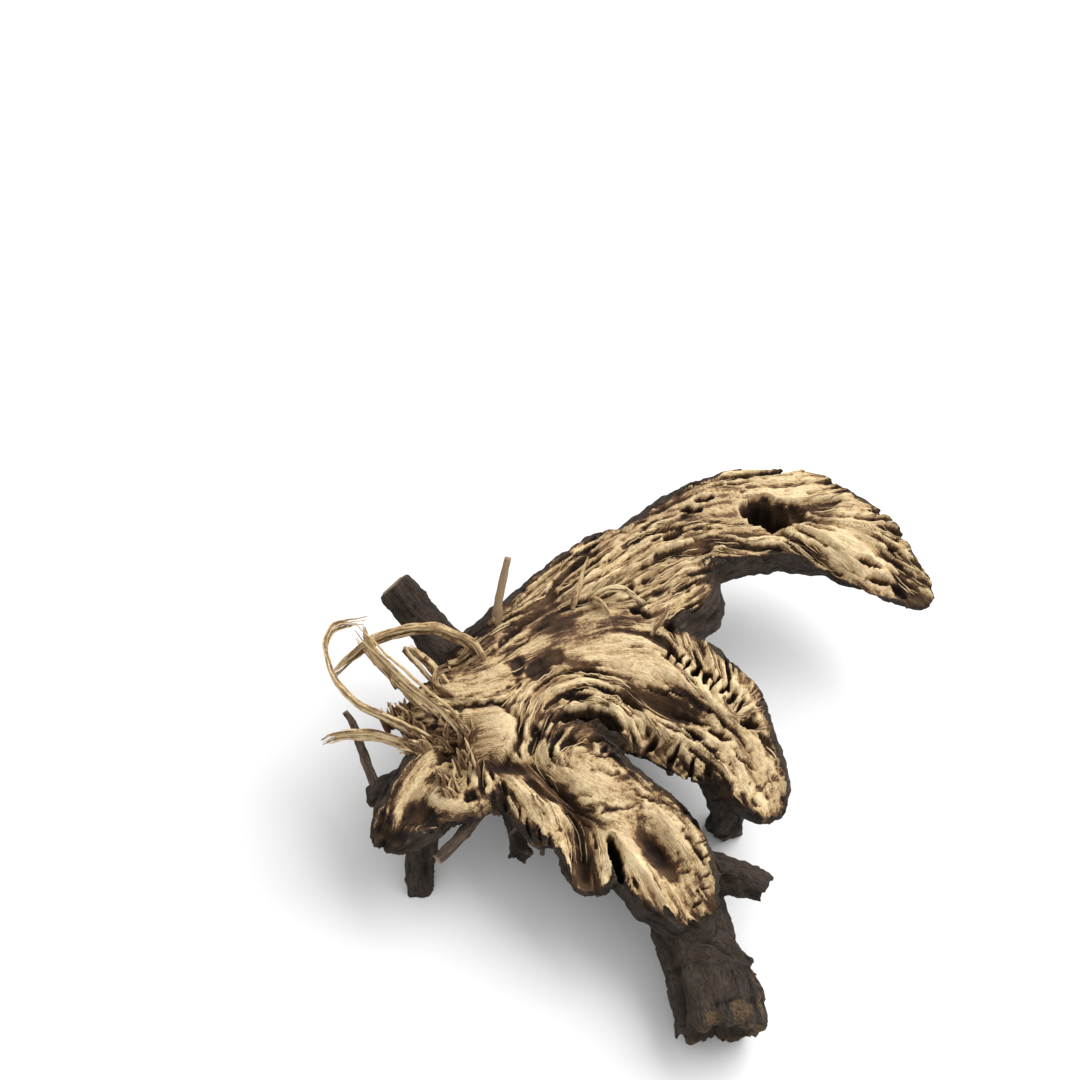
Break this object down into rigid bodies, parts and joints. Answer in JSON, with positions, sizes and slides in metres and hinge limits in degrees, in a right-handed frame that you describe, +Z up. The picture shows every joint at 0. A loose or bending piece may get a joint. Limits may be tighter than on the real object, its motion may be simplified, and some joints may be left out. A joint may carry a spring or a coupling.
{
  "type": "dried bugbane rhizome",
  "caption": "Dried knobbly rhizome sliced lengthwise: curved lobes with a torn fibrous cut face, dark wrinkled bark, a stem base, root stubs and curling torn fibres.",
  "frame": {"origin": "bottom centre of the bounding box, on the surface that the rhizome lies on", "axes": "+Z up, with the sliced face turned up; -Y towards the stem base; +X towards the tip of the long curved lobe"},
  "size_m": [0.1172, 0.1106, 0.0382],
  "materials": {
    "rhizome": "dry, matt: pale tan torn fibres on the sliced face, charcoal-brown wrinkled bark elsewhere"
  },
  "bodies": {
    "root": {"rhizome": "rhizome"}
  },
  "joints": []
}
